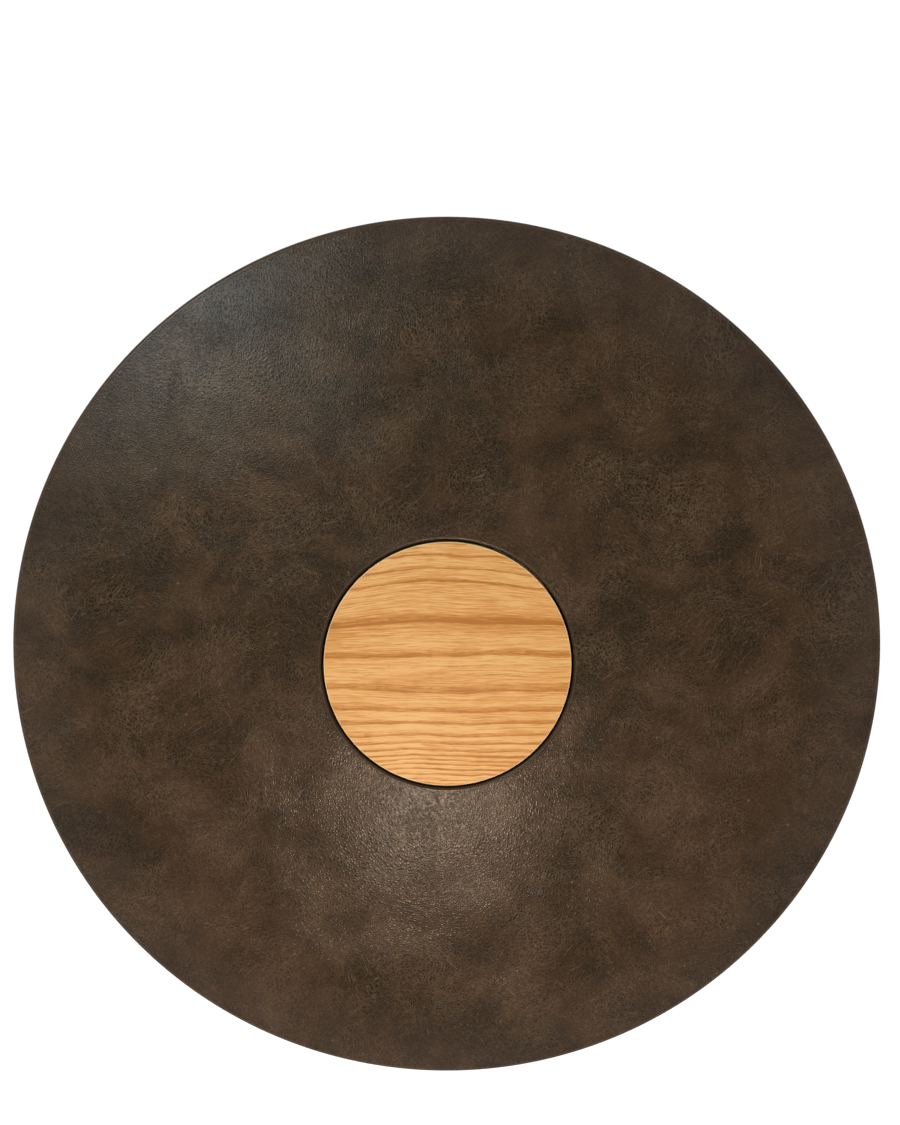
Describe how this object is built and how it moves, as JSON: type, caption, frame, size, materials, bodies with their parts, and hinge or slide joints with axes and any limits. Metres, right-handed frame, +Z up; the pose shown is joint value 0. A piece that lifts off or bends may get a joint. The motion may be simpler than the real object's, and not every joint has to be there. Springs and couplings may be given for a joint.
{
  "type": "equipale table",
  "caption": "Round leather-covered table top with a loose oak disc set flush in its middle, on a waisted drum of crossed cedar strips between leather-bound hoops.",
  "frame": {"origin": "on the floor, under the middle of the round top", "axes": "+Z up out of the table top; +X to the right and +Y to the top of the picture, which looks straight down on the top"},
  "size_m": [1, 1, 0.75],
  "materials": {
    "cover_leather": "dark brown hide with fine pebble grain, waxed, low sheen",
    "band_leather": "dark brown hide, folded and stitched",
    "oak": "satin oiled oak with straight grain",
    "strip_cedar": "sawn and sanded cedar strip, thin varnish",
    "hoop_wood": "steam-bent wood, thin varnish",
    "plywood": "raw sanded plywood",
    "felt": "grey wool felt",
    "rawhide": "dried rawhide thong",
    "screw_steel": "yellow zinc plated"
  },
  "bodies": {
    "table": {"top_board": "plywood", "top_edge_ring": "plywood", "top_leather_cover": "cover_leather", "disc_felt_ring": "felt", "disc_seat_plate": "plywood", "lower_inner_hoop": "hoop_wood", "lower_outer_hoop": "hoop_wood", "lower_leather_band": "band_leather", "upper_inner_hoop": "hoop_wood", "upper_outer_hoop": "hoop_wood", "upper_leather_band": "band_leather", "waist_hoop": "hoop_wood", "waist_lacing": "rawhide", "top_block_1": "plywood", "top_block_2": "plywood", "top_block_3": "plywood", "top_block_4": "plywood", "seat_screw_1": "screw_steel", "seat_screw_2": "screw_steel", "seat_screw_3": "screw_steel", "seat_screw_4": "screw_steel", "hoop_screw_1": "screw_steel", "hoop_screw_2": "screw_steel", "hoop_screw_3": "screw_steel", "hoop_screw_4": "screw_steel", "block_screw_1": "screw_steel", "block_screw_2": "screw_steel", "block_screw_3": "screw_steel", "block_screw_4": "screw_steel", "inner_strip_01": "strip_cedar", "outer_strip_01": "strip_cedar", "inner_strip_02": "strip_cedar", "outer_strip_02": "strip_cedar", "inner_strip_03": "strip_cedar", "outer_strip_03": "strip_cedar", "inner_strip_04": "strip_cedar", "outer_strip_04": "strip_cedar", "inner_strip_05": "strip_cedar", "outer_strip_05": "strip_cedar", "inner_strip_06": "strip_cedar", "outer_strip_06": "strip_cedar", "inner_strip_07": "strip_cedar", "outer_strip_07": "strip_cedar", "inner_strip_08": "strip_cedar", "outer_strip_08": "strip_cedar", "inner_strip_09": "strip_cedar", "outer_strip_09": "strip_cedar", "inner_strip_10": "strip_cedar", "outer_strip_10": "strip_cedar", "inner_strip_11": "strip_cedar", "outer_strip_11": "strip_cedar", "inner_strip_12": "strip_cedar", "outer_strip_12": "strip_cedar", "inner_strip_13": "strip_cedar", "outer_strip_13": "strip_cedar", "inner_strip_14": "strip_cedar", "outer_strip_14": "strip_cedar"},
    "disc": {"centre_disc": "oak"}
  },
  "joints": [
    {"name": "disc_lift", "type": "slide", "parent": "table", "child": "disc", "axis": [0, 0, 1], "range_m": [0, 0.06]}
  ]
}
